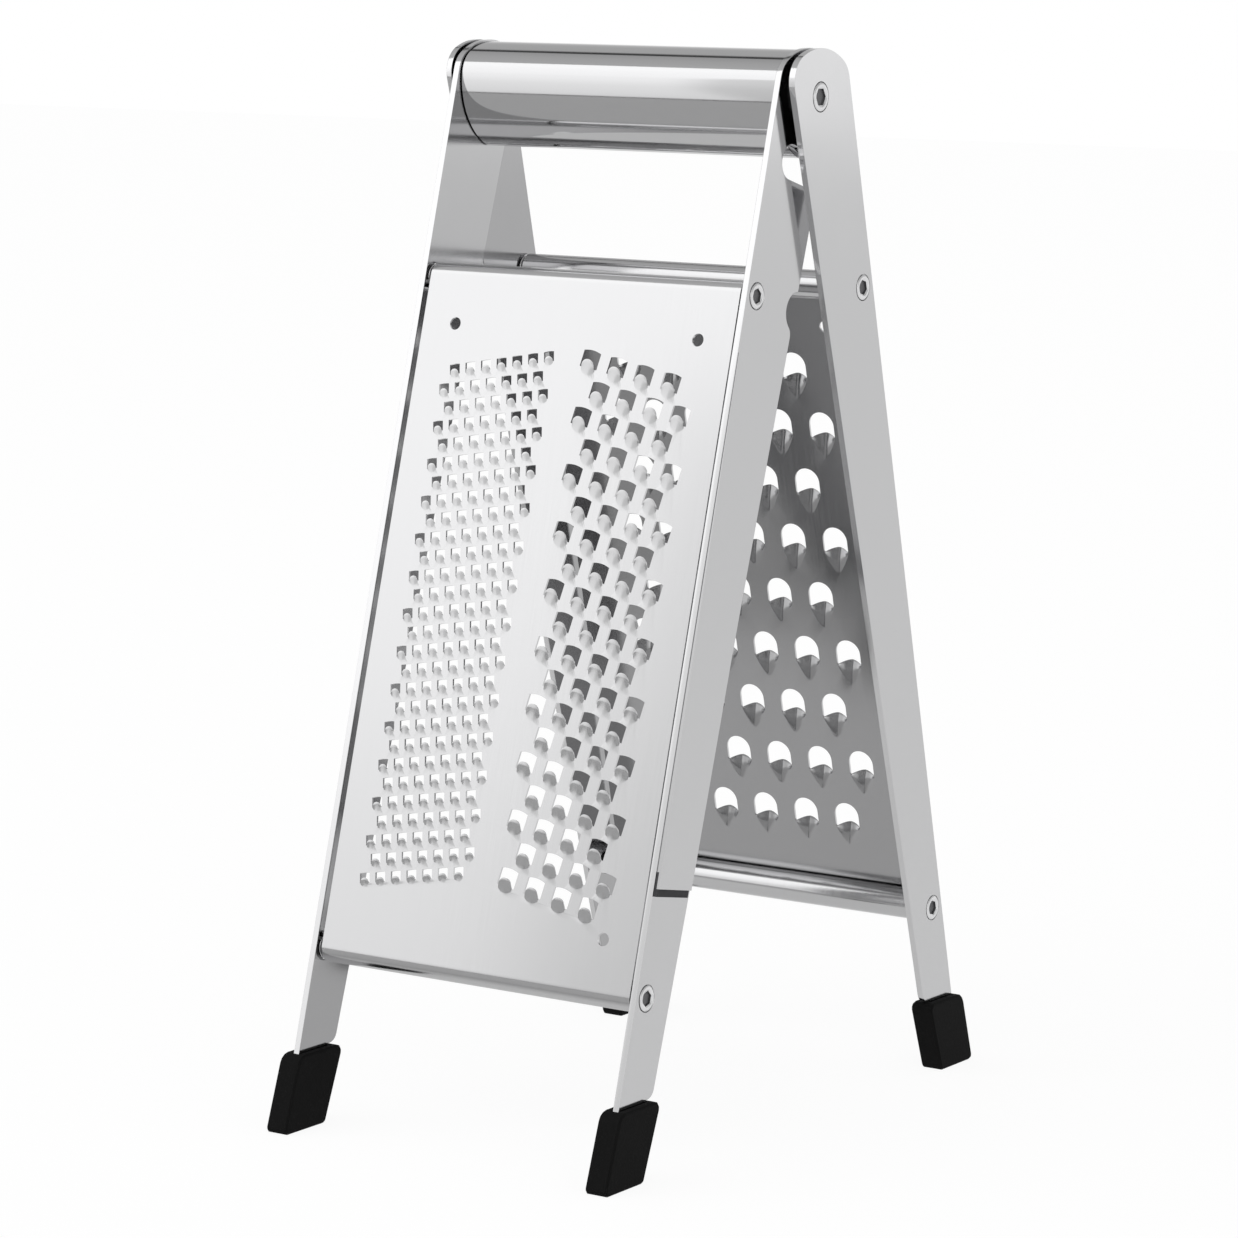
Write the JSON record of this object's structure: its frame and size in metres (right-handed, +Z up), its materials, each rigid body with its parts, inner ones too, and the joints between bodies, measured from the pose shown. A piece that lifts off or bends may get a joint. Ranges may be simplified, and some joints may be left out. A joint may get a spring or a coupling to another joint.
{
  "type": "folding grater",
  "caption": "Folding kitchen grater with fine, medium and coarse punched teeth on leaning steel frames hinged under a carrying handle, standing on rubber boots.",
  "frame": {"origin": "middle of the footprint, on the surface that the boots stand on", "axes": "+Z up, X along the hinge, -Y towards the panel with the fine and medium teeth, +Y towards the panel with the coarse teeth"},
  "size_m": [0.107, 0.1716, 0.267],
  "materials": {
    "rail_steel": "bright stainless steel, lightly polished",
    "panel_steel": "stainless sheet with a fine brushed grain",
    "handle_steel": "mirror polished stainless steel",
    "crossbar_steel": "plain turned stainless steel",
    "screw_steel": "plain stainless steel",
    "plug_steel": "plain stainless steel",
    "washer_steel": "plain stainless steel",
    "boot_rubber": "matte black"
  },
  "bodies": {
    "front_frame": {"front_left_rail": "rail_steel", "front_right_rail": "rail_steel", "front_upper_crossbar": "crossbar_steel", "front_lower_crossbar": "crossbar_steel", "front_upper_left_screw": "screw_steel", "front_upper_right_screw": "screw_steel", "front_lower_left_screw": "screw_steel", "front_lower_right_screw": "screw_steel", "front_left_boot": "boot_rubber", "front_right_boot": "boot_rubber", "front_panel": "panel_steel", "handle_tube": "handle_steel", "left_handle_plug": "plug_steel", "right_handle_plug": "plug_steel", "left_pivot_screw": "screw_steel", "right_pivot_screw": "screw_steel", "left_pivot_washer": "washer_steel", "right_pivot_washer": "washer_steel"},
    "back_frame": {"back_left_rail": "rail_steel", "back_right_rail": "rail_steel", "back_upper_crossbar": "crossbar_steel", "back_lower_crossbar": "crossbar_steel", "back_upper_left_screw": "screw_steel", "back_upper_right_screw": "screw_steel", "back_lower_left_screw": "screw_steel", "back_lower_right_screw": "screw_steel", "back_left_boot": "boot_rubber", "back_right_boot": "boot_rubber", "back_panel": "panel_steel"}
  },
  "joints": [
    {"name": "frame_hinge", "type": "hinge", "parent": "front_frame", "child": "back_frame", "pos_m": [0, 0, 0.2553], "axis": [-1, 0, 0], "range_deg": [0, 29.4]}
  ]
}
